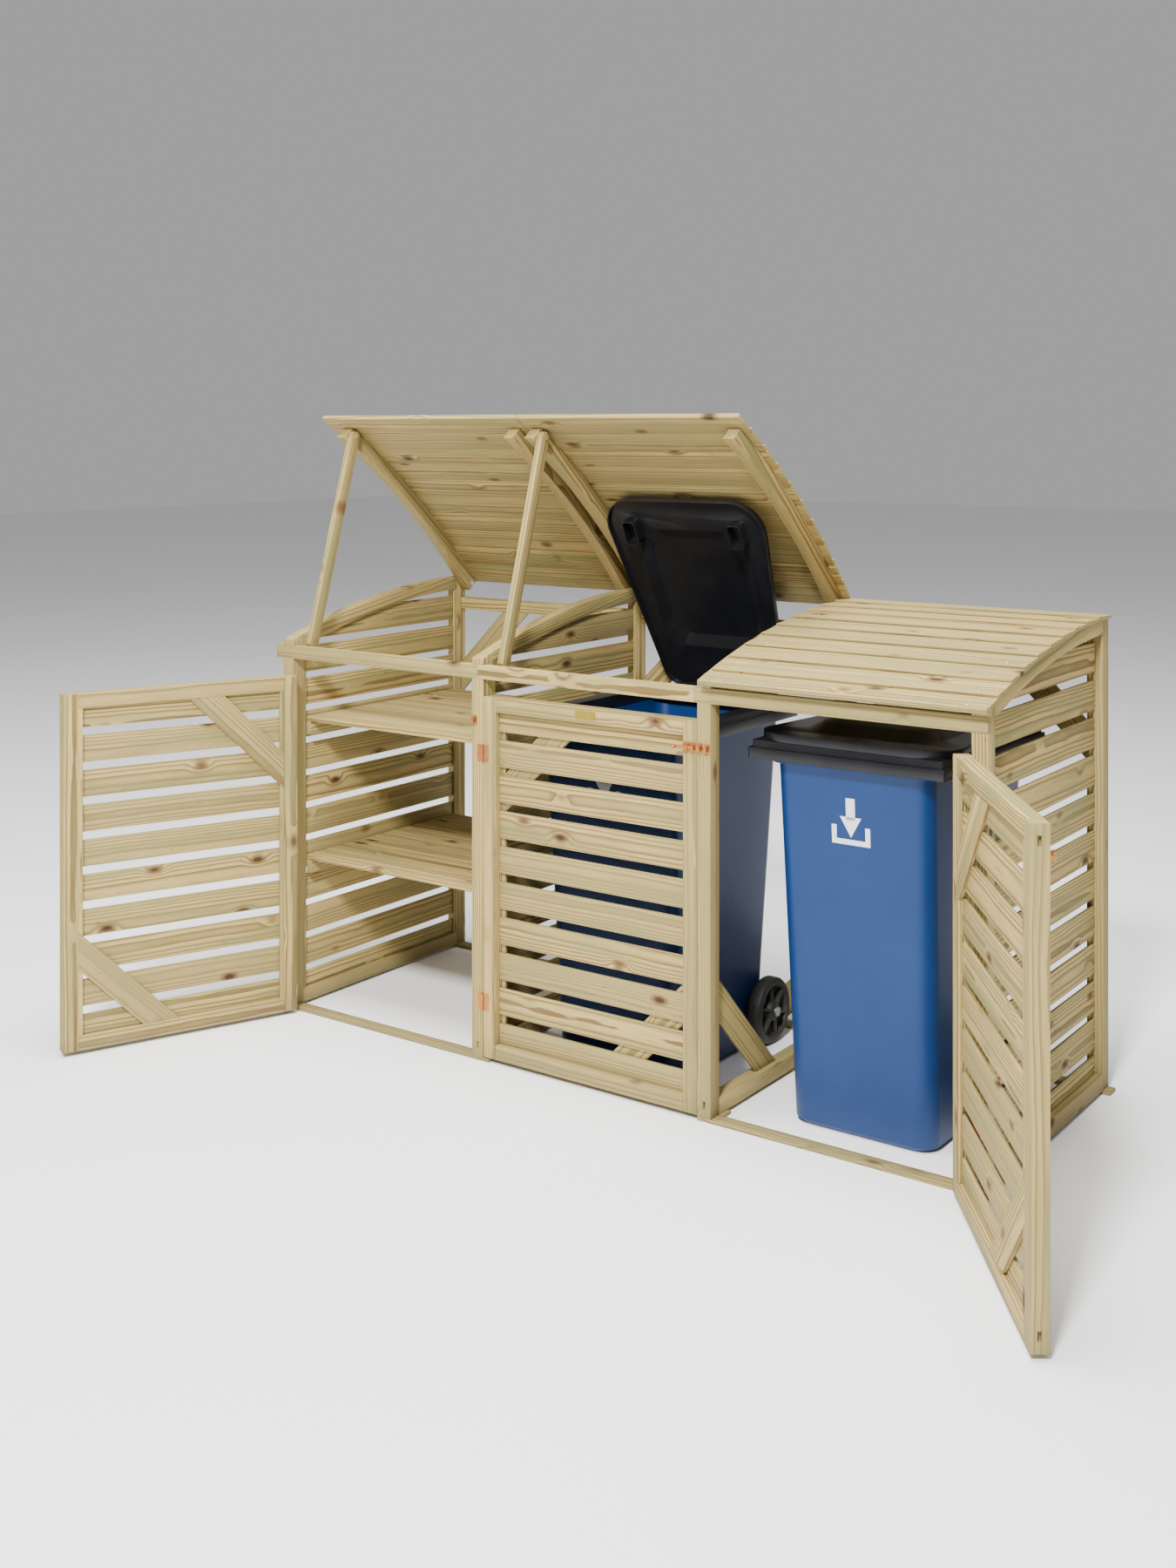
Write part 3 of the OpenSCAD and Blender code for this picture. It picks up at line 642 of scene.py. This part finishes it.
class Joinery:
    """Timber copies of model nodes, each board with its own run of grain."""

    GRAIN_RUN = 40.0
    GRAIN_SHIFT = 0.03
    TURN_STEP = 0.5

    def __init__(self, seed: int) -> None:
        """Sets the random draws.

        Args:
            seed: Start of the random draws.
        """
        self.draw = random.Random(seed)

    @staticmethod
    def islands(mesh: bpy.types.Mesh) -> list[np.ndarray]:
        """Sorts the points of a mesh into its separate solids.

        Args:
            mesh: The mesh.

        Returns:
            The point numbers of each solid.
        """
        parent = list(range(len(mesh.vertices)))

        def top(i: int) -> int:
            """Returns: The lowest known point that is joined to a point."""
            while parent[i] != i:
                parent[i] = parent[parent[i]]
                i = parent[i]
            return i

        for edge in mesh.edges:
            a, b = top(edge.vertices[0]), top(edge.vertices[1])
            if a != b:
                parent[max(a, b)] = min(a, b)
        groups: dict[int, list[int]] = {}
        for i in range(len(parent)):
            groups.setdefault(top(i), []).append(i)
        return [np.array(v) for _, v in sorted(groups.items())]

    def boards(self, mesh: bpy.types.Mesh) -> list[Board]:
        """Measures the boards of a mesh.

        Args:
            mesh: The mesh.

        Returns:
            The boards with their directions.
        """
        spots = np.empty(len(mesh.vertices) * 3)
        mesh.vertices.foreach_get("co", spots)
        spots = spots.reshape(-1, 3)
        ends = np.empty(len(mesh.edges) * 2, np.int32)
        mesh.edges.foreach_get("vertices", ends)
        ends = ends.reshape(-1, 2)
        island_of = np.empty(len(spots), np.int32)
        groups = self.islands(mesh)
        for number, group in enumerate(groups):
            island_of[group] = number
        runs = spots[ends[:, 1]] - spots[ends[:, 0]]
        lengths = np.linalg.norm(runs, axis=1)
        made = []
        for number, group in enumerate(groups):
            own = spots[group]
            middle = (own.max(0) + own.min(0)) / 2
            mine = np.where(island_of[ends[:, 0]] == number)[0]
            longest = mine[np.argmax(lengths[mine])]
            first = runs[longest] / lengths[longest]
            reach = np.ptp(own, axis=0).max()
            if lengths[longest] < 0.5 * reach:
                spread = own - own.mean(0)
                first = np.linalg.svd(spread, full_matrices=False)[2][0]
            if first[np.argmax(np.abs(first))] < 0:
                first = -first
            third = self.thin_direction(own, first)
            second = np.cross(third, first)
            frame = np.stack([first, second, third])
            local = (own - middle) @ frame.T
            middle = middle + ((local.max(0) + local.min(0)) / 2) @ frame
            half = np.ptp(local, axis=0) / 2
            axes = tuple(Vector(v) for v in frame)
            made.append(Board(Vector(middle), axes, tuple(half), group))
        return made

    @staticmethod
    def thin_direction(own: np.ndarray, first: np.ndarray) -> np.ndarray:
        """Turns around the length of a board until it is thinnest.

        Args:
            own: The board's points.
            first: The direction of its length.

        Returns:
            The direction in which it is thinnest.
        """
        helper = np.array([0.0, 0.0, 1.0] if abs(first[2]) < 0.8 else [1.0, 0.0, 0.0])
        side = np.cross(first, helper)
        side /= np.linalg.norm(side)
        other = np.cross(first, side)
        best, thinnest = side, math.inf
        for degree in np.arange(0.0, 180.0, Joinery.TURN_STEP):
            turn = math.radians(degree)
            trial = side * math.cos(turn) + other * math.sin(turn)
            width = np.ptp(own @ trial)
            if width < thinnest - 1e-6:
                best, thinnest = trial, width
        return best

    def grain(self, obj: bpy.types.Object) -> list[Board]:
        """Writes the grain directions and the tone of each board on a mesh.

        Args:
            obj: The timber piece.

        Returns:
            Its boards.
        """
        mesh = obj.data
        boards = self.boards(mesh)
        grain = np.zeros((len(mesh.vertices), 3))
        tone = np.zeros(len(mesh.vertices))
        spots = np.empty(len(mesh.vertices) * 3)
        mesh.vertices.foreach_get("co", spots)
        spots = spots.reshape(-1, 3)
        for board in boards:
            frame = np.array([list(v) for v in board.axes])
            local = (spots[board.points] - np.array(board.middle)) @ frame.T
            run = self.draw.uniform(0, self.GRAIN_RUN)
            shift = [run, self.draw.uniform(-self.GRAIN_SHIFT, self.GRAIN_SHIFT), 0.0]
            flip = self.draw.choice((-1.0, 1.0))
            grain[board.points] = local * [1.0, flip, flip] + shift
            tone[board.points] = self.draw.random()
        mesh.attributes.new("grain", "FLOAT_VECTOR", "POINT")
        mesh.attributes["grain"].data.foreach_set("vector", grain.ravel())
        mesh.attributes.new("tone", "FLOAT", "POINT")
        mesh.attributes["tone"].data.foreach_set("value", tone)
        return boards


@dataclass
class Store:
    """The whole scene: the frame, its finishes and the pieces made so far."""

    frame: dict[str, Any]
    finishes: Finishes
    joinery: Joinery
    thin_ease: float = 0.7 * MM
    ease: float = 1.5 * MM

    def __post_init__(self) -> None:
        """Reads the body and the slot of every node."""
        record = self.frame["record"]
        bodies = record["behaviour"]["bodies"]
        self.body_of = {n: b for b, nodes in bodies.items() for n in nodes}
        self.slot_of = {s["node"]: Slot(s["material_slot"]) for s in record["subparts"]}
        self.boards: dict[str, list[Board]] = {}

    def paint(self, obj: bpy.types.Object, material: bpy.types.Material) -> None:
        """Gives a piece one finish."""
        obj.data.materials.clear()
        obj.data.materials.append(material)

    def add(self, obj: bpy.types.Object, body: str, slot: Slot) -> bpy.types.Object:
        """Finishes a new piece and lets it ride on a body.

        Args:
            obj: The piece, in place.
            body: The body that carries it.
            slot: Its finish.

        Returns:
            The piece.
        """
        LOG.info("%s rides on %s", obj.name, body)
        self.paint(obj, self.finishes.by_slot[slot])
        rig.slot(obj, slot.value)
        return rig.ride(obj, body)

    def rework(self, node: str) -> None:
        """Replaces a node by a copy with eased edges and, on timber, its own grain.

        Args:
            node: The node's name.
        """
        slot = self.slot_of[node]
        made = Bench.copy_node(self.frame["nodes"][node], node + "_finish")
        if slot is Slot.TIMBER:
            self.boards[node] = self.joinery.boards(made.data)
            eased = self.thin_ease if "lid_boards" in node else self.ease
            Bench.soften(made, eased, 2)
            self.joinery.grain(made)
        else:
            Bench.soften(made, self.ease, 3, 30.0)
        self.add(made, self.body_of[node], slot)
        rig.replaces(made, node)

    def keep(self, node: str) -> None:
        """Keeps a node's own mesh and gives its material slots a finish.

        Args:
            node: The node's name.
        """
        LOG.info("%s keeps its own mesh", node)
        obj = self.frame["nodes"][node]
        material = self.finishes.by_slot[self.slot_of[node]]
        if not obj.material_slots:
            obj.data.materials.append(material)
        for slot in obj.material_slots:
            slot.material = material

    def finish_nodes(self) -> None:
        """Gives every node of the model its final look."""
        reworked = {Slot.TIMBER, Slot.BLUE, Slot.BLACK, Slot.TYRE}
        for node in sorted(self.frame["nodes"]):
            if self.slot_of[node] in reworked and "lid_pins" not in node:
                self.rework(node)
            else:
                self.keep(node)


@dataclass
class NailHeads:
    """Small domed nail heads driven into the boards."""

    store: Store
    radius: float = 3.2 * MM
    dome: float = 0.28
    sink: float = 0.1 * MM
    narrowest: float = 0.03

    def pattern(self) -> bpy.types.Object:
        """Returns: One nail head at the origin, its dome towards +Z."""
        Bench.clear()
        bpy.ops.mesh.primitive_uv_sphere_add(segments=10, ring_count=6, radius=self.radius)
        head = bpy.context.object
        bpy.ops.object.mode_set(mode="EDIT")
        bpy.ops.mesh.select_all(action="SELECT")
        bpy.ops.transform.resize(value=(1.0, 1.0, self.dome))
        bpy.ops.object.mode_set(mode="OBJECT")
        bpy.ops.object.shade_smooth_by_angle(angle=math.radians(40))
        return head

    def drive(self, node: str, side: Vector, inset: float, rows: Sequence[float]) -> None:
        """Drives nails at both ends of every board of a node, where timber is under them.

        Args:
            node: The timber node.
            side: Roughly the direction in which the nailed face looks.
            inset: Distance of the nails from each end, in metres.
            rows: Places across the board as shares of its half width.
        """
        places = []
        timber = self.surface(node)
        for board in self.store.boards[node]:
            first, second, third = board.axes
            length, width, thick = board.half
            out = third if third.dot(side) > 0 else -third
            if width * 2 < self.narrowest:
                continue
            turn = out.to_track_quat("Z", "Y").to_matrix().to_4x4()
            for end in (-1, 1):
                for row in rows:
                    spot = board.middle + first * end * (length - inset)
                    spot = spot + second * row * width + out * (thick - self.sink)
                    above = spot + out * self.radius
                    if timber.ray_cast(above, -out, 2 * self.radius)[0] is None:
                        continue
                    places.append(Matrix.Translation(spot) @ turn)
        made = Bench.copies(self.pattern(), places, node + "_nails")
        self.store.add(made, self.store.body_of[node], Slot.ZINC)

    def surface(self, node: str) -> BVHTree:
        """Reads a node's surface, to tell whether a nail would stand in the open.

        Args:
            node: The timber node.

        Returns:
            Its faces as a search tree.
        """
        mesh = self.store.frame["nodes"][node].data
        faces = [tuple(face.vertices) for face in mesh.polygons]
        return BVHTree.FromPolygons([v.co.copy() for v in mesh.vertices], faces)


@dataclass
class BinTrim:
    """What is printed and moulded on a bin beyond the model's own shapes."""

    store: Store
    bin: str
    top_front: tuple[float, float] = (38.0 * MM, 1005.0 * MM)
    low_front: tuple[float, float] = (94.0 * MM, 14.0 * MM)
    print_height: float = 0.845
    print_thick: float = 0.5 * MM
    print_sink: float = 0.05 * MM
    sign_reach: float = 0.056
    line: float = 0.014
    rib_count: int = 6
    rib_ease: float = 1.2 * MM
    rib_place: float = 0.009
    first_rib: float = 12.0

    @staticmethod
    def block(low: Sequence[float], high: Sequence[float]) -> bpy.types.Object:
        """Makes a block.

        Args:
            low: Its lowest corner.
            high: Its highest corner.

        Returns:
            The block.
        """
        Bench.clear()
        middle = [(a + b) / 2 for a, b in zip(low, high)]
        bpy.ops.mesh.primitive_cube_add(size=1.0, location=middle)
        made = bpy.context.object
        made.scale = [b - a for a, b in zip(low, high)]
        return Bench.settle(made)

    @staticmethod
    def join(pieces: Sequence[bpy.types.Object], name: str) -> bpy.types.Object:
        """Joins pieces into one.

        Args:
            pieces: The pieces.
            name: Name of the joined piece.

        Returns:
            The joined piece.
        """
        Bench.clear()
        for piece in pieces:
            piece.select_set(True)
        bpy.context.view_layer.objects.active = pieces[0]
        bpy.ops.object.join()
        return Bench.name(pieces[0], name)

    def pictogram(self) -> None:
        """Prints a plain arrow over a tray on the sloping front of the body."""
        thick = self.print_thick
        shaft = self.block((-0.013, -thick, 0.010), (0.013, 0.0, 0.068))
        Bench.clear()
        bpy.ops.mesh.primitive_cylinder_add(
            vertices=3, radius=0.036, depth=thick, location=(0.0, -thick / 2, 0.0)
        )
        head = bpy.context.object
        head.rotation_euler = (math.radians(-90.0), 0.0, 0.0)
        Bench.settle(head)
        wide, inner = self.sign_reach, self.sign_reach - self.line
        foot, lip = -inner - 0.0001, -0.006
        base = self.block((-wide, -thick, -wide), (wide, 0.0, -inner))
        left = self.block((-wide, -thick, foot), (-inner, 0.0, lip))
        right = self.block((inner, -thick, foot), (wide, 0.0, lip))
        sign = self.join([shaft, head, base, left, right], self.bin + "_bin_sign")
        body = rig.box(self.bin + "_bin_body")
        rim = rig.box(self.bin + "_bin_rim")
        rise = self.top_front[1] - self.low_front[1]
        lean = (self.low_front[0] - self.top_front[0]) / rise
        front = self.top_front[0] + (self.top_front[1] - self.print_height) * lean
        sign.rotation_euler = (math.atan(lean), 0.0, 0.0)
        centre = (body[0].x + body[1].x) / 2
        sign.location = (centre, rim[0].y + front - self.print_sink, self.print_height)
        Bench.settle(sign)
        LOG.info("%s rides on %s", sign.name, ROOT_BODY)
        self.store.paint(sign, self.store.finishes.print)
        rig.ride(sign, ROOT_BODY)

    def spokes(self, side: str) -> None:
        """Moulds ribs into the outer face of a wheel.

        Args:
            side: Which wheel, left or right.
        """
        node = f"{self.bin}_bin_{side}_wheel"
        low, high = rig.box(node)
        hub = (low + high) / 2
        out = 1.0 if side == "right" else -1.0
        rib = self.block((-0.003, -0.0045, 0.027), (0.013, 0.0045, 0.074))
        tip = 0.07
        Bench.take(rib)
        bpy.ops.object.mode_set(mode="EDIT")
        bpy.ops.mesh.select_all(action="DESELECT")
        bpy.ops.object.mode_set(mode="OBJECT")
        for vertex in rib.data.vertices:
            vertex.select = vertex.co.z > tip
        bpy.ops.object.mode_set(mode="EDIT")
        bpy.ops.transform.resize(value=(0.75, 0.6, 1.0), center_override=(0.0, 0.0, tip))
        bpy.ops.object.mode_set(mode="OBJECT")
        Bench.soften(rib, self.rib_ease, 2)
        if out < 0:
            rib.data.transform(Matrix.Rotation(math.pi, 4, "Z"))
        move = Matrix.Translation((hub.x + out * self.rib_place, hub.y, hub.z))
        apart = 360.0 / self.rib_count
        angles = [math.radians(apart * i + self.first_rib) for i in range(self.rib_count)]
        turns = [move @ Matrix.Rotation(angle, 4, "X") for angle in angles]
        made = Bench.copies(rib, turns, node + "_ribs")
        self.store.add(made, self.store.body_of[node], Slot.TYRE)

    def make(self) -> None:
        """Adds the print and the ribs of both wheels."""
        self.pictogram()
        for side in ("left", "right"):
            self.spokes(side)


class Studio:
    """Floor, soft light and the camera."""

    CAMERA_PLACE = (2.880, -4.064, 1.886)
    CAMERA_TURN = 35.7
    LENS = 39.58
    SHIFT_Y = -0.2263
    SENSOR = 36.0
    FLOOR_SIZE = 60.0
    FLOOR_PLACE = (0.0, 6.0, -0.0005)
    PAPER = ((0.88, 0.88, 0.885), (0.91, 0.91, 0.91))
    SURROUND = 0.40

    def floor(self) -> None:
        """Lays a wide pale floor with a faint cloudiness."""
        Bench.clear()
        bpy.ops.mesh.primitive_plane_add(size=self.FLOOR_SIZE, location=self.FLOOR_PLACE)
        ground = Bench.name(bpy.context.object, "floor")
        s = Sheet("floor_paper")
        cloud = s.noise(s.place(), 0.8, 3.0)
        colour = s.mix(cloud, *self.PAPER)
        ground.data.materials.append(s.finish(Base_Color=colour, Roughness=0.9))
        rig.stage(ground)

    def lamp(
        self, name: str, place: Sequence[float], aim: Sequence[float], power: float, size: float
    ) -> None:
        """Adds a soft square lamp.

        Args:
            name: Its name.
            place: Where it stands.
            aim: The point it shines on.
            power: Its power in watts.
            size: The length of its side in metres.
        """
        data = bpy.data.lights.new(name, "AREA")
        data.energy = power
        data.size = size
        lamp = bpy.data.objects.new(name, data)
        bpy.context.collection.objects.link(lamp)
        lamp.location = place
        look = Vector(aim) - Vector(place)
        lamp.rotation_euler = look.to_track_quat("-Z", "Y").to_euler()
        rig.stage(lamp)

    def light(self) -> None:
        """Sets a soft surround, a key lamp, a top lamp and a weak fill lamp."""
        world = bpy.data.worlds.new("studio")
        world.use_nodes = True
        back = world.node_tree.nodes["Background"]
        back.inputs["Color"].default_value = (1.0, 1.0, 1.0, 1.0)
        back.inputs["Strength"].default_value = self.SURROUND
        bpy.context.scene.world = world
        self.lamp("key", (2.4, -6.2, 6.6), (0.0, 0.0, 0.6), 1450.0, 1.1)
        self.lamp("top", (0.0, -0.6, 7.0), (0.0, 0.2, 0.0), 950.0, 4.0)
        self.lamp("fill", (-5.5, -4.0, 3.4), (-0.8, 0.3, 0.8), 50.0, 3.0)

    def camera(self) -> None:
        """Sets a level camera to the right of the store's front."""
        data = bpy.data.cameras.new("camera")
        data.lens = self.LENS
        data.sensor_width = self.SENSOR
        data.shift_y = self.SHIFT_Y
        camera = bpy.data.objects.new("camera", data)
        bpy.context.collection.objects.link(camera)
        camera.location = self.CAMERA_PLACE
        camera.rotation_euler = (math.radians(90.0), 0.0, math.radians(self.CAMERA_TURN))
        bpy.context.scene.camera = camera


def main() -> None:
    """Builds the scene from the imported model."""
    logging.basicConfig(level=logging.INFO, format="%(name)s: %(message)s")
    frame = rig.load()
    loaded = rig.bounds()
    studio = Studio()
    studio.camera()
    store = Store(frame, Finishes(), Joinery(SEED))
    store.finish_nodes()
    LOG.info("nodes finished")
    nails = NailHeads(store)
    for lid in ("left", "middle", "right"):
        nails.drive(lid + "_lid_boards", Vector((0.0, -0.2, 1.0)), LID_INSET, LID_ROWS)
    for side, way in (("right", 1.0), ("left", -1.0)):
        outwards = Vector((way, 0.0, 0.0))
        nails.drive(side + "_frame_slats", outwards, SLAT_INSET, SLAT_ROWS)
    for name in ("middle", "right"):
        BinTrim(store, name).make()
    LOG.info("trim finished")
    studio.floor()
    studio.light()
    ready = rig.bounds()
    boxes = {"cad": [list(v) for v in loaded], "visual": [list(v) for v in ready]}
    with open(SIZE_FILE, "w", encoding="utf-8") as out:
        json.dump(boxes, out)


if __name__ == "__main__":
    main()
